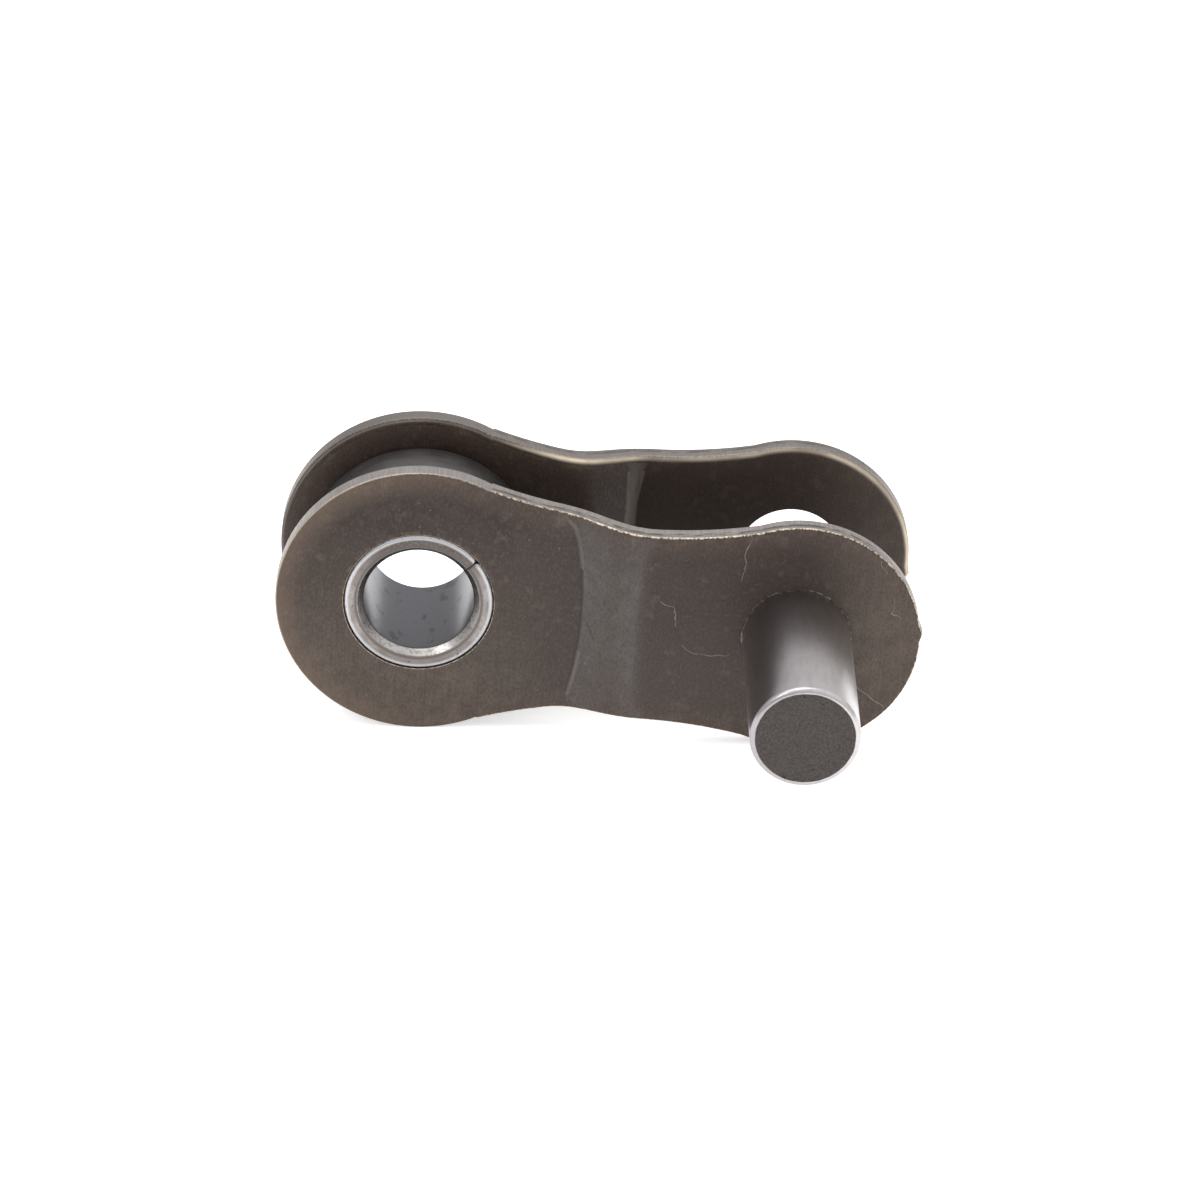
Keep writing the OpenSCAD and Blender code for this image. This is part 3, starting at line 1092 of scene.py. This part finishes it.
def bright_bushing():
    skin = Finish("bright_bushing")
    across = skin.vector("MULTIPLY", skin.place, (1, 0, 1))
    radius = skin.length(across)
    dark_ring_r = bore_r + bevel_run + dark_ring_offset
    smear = skin.noise(1.6, 4)
    grain = skin.noise(11, 3)
    crest = skin.mix(skin.ramp(smear, 0.35, 0.7), steel(0.3, 0.275, 0.265), steel(0.19, 0.168, 0.158))
    height = skin.axes()[2]
    # Painted shade: the rim is darker at its top and, a little less, at its bottom.
    crest = skin.mix(skin.ramp(height, 0.2, 2.1, 0, 0.9), crest, steel(0.075, 0.062, 0.056))
    crest = skin.mix(skin.ramp(height, -2.3, -1, 0.55, 0), crest, steel(0.12, 0.104, 0.096))
    on_bevel = skin.ramp(radius, dark_ring_r - 0.09, dark_ring_r - 0.03, 1, 0)
    rim = skin.mix(on_bevel, crest, steel(0.42, 0.4, 0.385))
    rim = skin.mix(skin.ramp(grain, 0.45, 0.68, 0, 0.6), rim, steel(0.16, 0.142, 0.133))
    # Painted highlight: a pale bluish band along the outer edge of the rim.
    outer_highlight = skin.ramp(radius, bushing_r - 0.22, bushing_r - 0.1)
    outer_highlight = skin.times(outer_highlight, skin.ramp(grain, 0.45, 0.72, 1, 0.75))
    rim = skin.mix(outer_highlight, rim, steel(0.47, 0.468, 0.485))
    # Painted shade: a dark ring round the middle of the rim.
    off = skin.off(radius, dark_ring_r)
    off = skin.sum("ADD", off, skin.ramp(smear, 0.3, 0.7, -0.015, 0.015))
    rim = skin.mix(skin.ramp(off, 0.01, 0.09, 0.85, 0), rim, steel(0.1, 0.085, 0.078))
    in_bore = skin.ramp(radius, bore_r + 0.003, bore_r + 0.03, 1, 0)
    smudge = skin.noise(2.6, 4, (1, 0.5, 1))
    bore_grey, bore_dirt = steel(0.104, 0.103, 0.114), steel(0.062, 0.061, 0.066)
    bore_colour = skin.mix(skin.ramp(smudge, 0.58, 0.68), bore_grey, bore_dirt)
    colour = skin.mix(in_bore, rim, bore_colour)
    speck = skin.noise(6, 2)
    colour = skin.mix(skin.ramp(speck, 0.7, 0.75, 0, 0.8), colour, steel(0.04, 0.037, 0.035))
    rough = skin.ramp(in_bore, 0, 1, 0.29, 0.28)
    relief = skin.bump(grain, 0.003)
    return skin.done(Base_Color=colour, Metallic=1.0, Roughness=rough, Normal=relief)


bright = bright_bushing()

# %% [markdown]
# The roller is turned and hardened, with a dark satin skin and fine lines round it. Stretching a
# noise so that it hardly changes round the turn, and fast along the axis, gives those lines without
# any drawing.

# %% Satin roller
def satin_roller():
    skin = Finish("satin_roller")
    lines = skin.noise(14, 3, (0.08, 1, 0.08))
    smear = skin.noise(0.9, 4)
    colour = skin.mix(skin.ramp(smear, 0.3, 0.7), steel(0.135, 0.128, 0.124), steel(0.175, 0.167, 0.163))
    colour = skin.mix(skin.ramp(lines, 0.45, 0.75, 0, 0.4), colour, steel(0.1, 0.095, 0.092))
    rough = skin.ramp(lines, 0.3, 0.7, 0.36, 0.48)
    relief = skin.bump(lines, 0.003)
    return skin.done(Base_Color=colour, Metallic=1.0, Roughness=rough, Normal=relief)


satin = satin_roller()

# %% [markdown]
# The pin is ground along its side and tumbled, so its side and its rounded corner are bare steel
# with a satin sheen, and painted light makes the side lighter towards the right. The end face was
# cropped and stays dark and grainy, with a few pits. The radius tells face from corner, and a little
# noise keeps the line between them from looking drawn.

# %% Ground pin
def ground_pin():
    skin = Finish("ground_pin")
    across = skin.vector("MULTIPLY", skin.vector("SUBTRACT", skin.place, (pitch, 0, 0)), (1, 0, 1))
    radius = skin.length(across)
    grain = skin.noise(14, 5)
    # Painted light: the side is lighter towards the right.
    painted_side_light = skin.ramp(skin.axes()[0], pitch - 0.9 * pin_r, pitch + pin_r)
    side = skin.mix(painted_side_light, steel(0.37, 0.345, 0.36), steel(0.52, 0.495, 0.49))
    rubs = skin.noise(5, 4, (1, 0.25, 1))
    side = skin.mix(skin.ramp(rubs, 0.4, 0.75, 0, 0.25), side, steel(0.26, 0.25, 0.25))
    side = skin.mix(skin.ramp(grain, 0.5, 0.75, 0, 0.35), side, steel(0.26, 0.245, 0.245))
    cropped = skin.mix(skin.ramp(grain, 0.3, 0.7), steel(0.034, 0.029, 0.026), steel(0.062, 0.053, 0.049))
    pits = skin.sum("ADD", skin.noise(5, 2), skin.ramp(radius, 0.8, 1.6, 0, 0.1))
    cropped = skin.mix(skin.ramp(pits, 0.72, 0.76), cropped, steel(0.02, 0.017, 0.016))
    edge = skin.sum("ADD", radius, skin.ramp(skin.noise(3, 3), 0.2, 0.8, -0.008, 0.008))
    flat_r = pin_r - pin_edge_r
    on_side = skin.ramp(edge, flat_r - 0.01, flat_r + 0.02)
    colour = skin.mix(on_side, cropped, side)
    metal = skin.ramp(on_side, 0, 1, 0.6, 1)
    rough = skin.ramp(on_side, 0, 1, 0.42, 0.28)
    relief = skin.bump(skin.times(grain, skin.ramp(on_side, 0, 1, 1, 0)), 0.003)
    return skin.done(Base_Color=colour, Metallic=metal, Roughness=rough, Normal=relief)


ground = ground_pin()

# %% [markdown]
# Each mesh now takes the place of its solid: it rides on the same body, so it moves when a joint
# does, and it hides the plain solid, which stays behind for the physics.

# %% Dress the link
dressing = [
    (front_plate, "front_plate", "link", "plate_steel", tempered),
    (rear_plate, "rear_plate", "link", "plate_steel", tempered),
    (bushing, "bushing", "link", "bushing_steel", bright),
    (roller, "roller", "roller", "roller_steel", satin),
    (pin, "pin", "pin", "pin_steel", ground),
]
for piece, node, body, slot, finish in dressing:
    piece.data.materials.append(finish)
    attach(piece, body)
    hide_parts(node)
print("dressed", len(dressing), "pieces")
